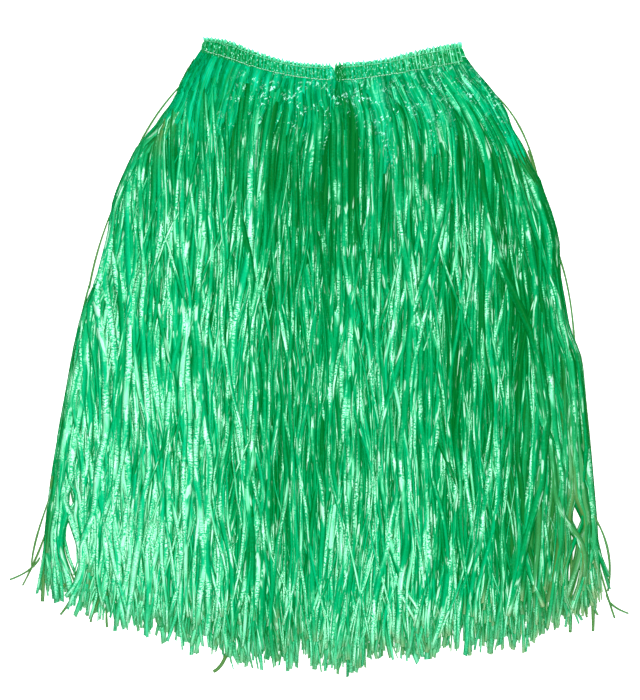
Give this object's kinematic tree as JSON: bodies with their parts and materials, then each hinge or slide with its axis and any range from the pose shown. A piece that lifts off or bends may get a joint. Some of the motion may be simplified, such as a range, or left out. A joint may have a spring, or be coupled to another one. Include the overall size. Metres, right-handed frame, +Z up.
{
  "type": "grass skirt",
  "caption": "Plastic grass skirt lying flat, with a gathered waistband open at the centre front and layers of thin green strands fanning out to a ragged hem.",
  "frame": {"origin": "on the surface it lies on, under the middle of the skirt's outline", "axes": "+Z up out of the surface, front side up; +Y from the hem towards the waist; +X towards the wearer's left"},
  "size_m": [0.7758, 0.7962, 0.0176],
  "materials": {
    "band_film": "thin crinkled green plastic film, gathered and stitched",
    "strand_film": "thin crinkled green plastic film, slit into ribbons"
  },
  "bodies": {
    "root": {"waistband": "band_film", "back_outer_strands": "strand_film", "back_inner_strands": "strand_film", "front_inner_left_strands": "strand_film", "front_inner_right_strands": "strand_film", "front_outer_left_strands": "strand_film", "front_outer_right_strands": "strand_film"}
  },
  "joints": []
}
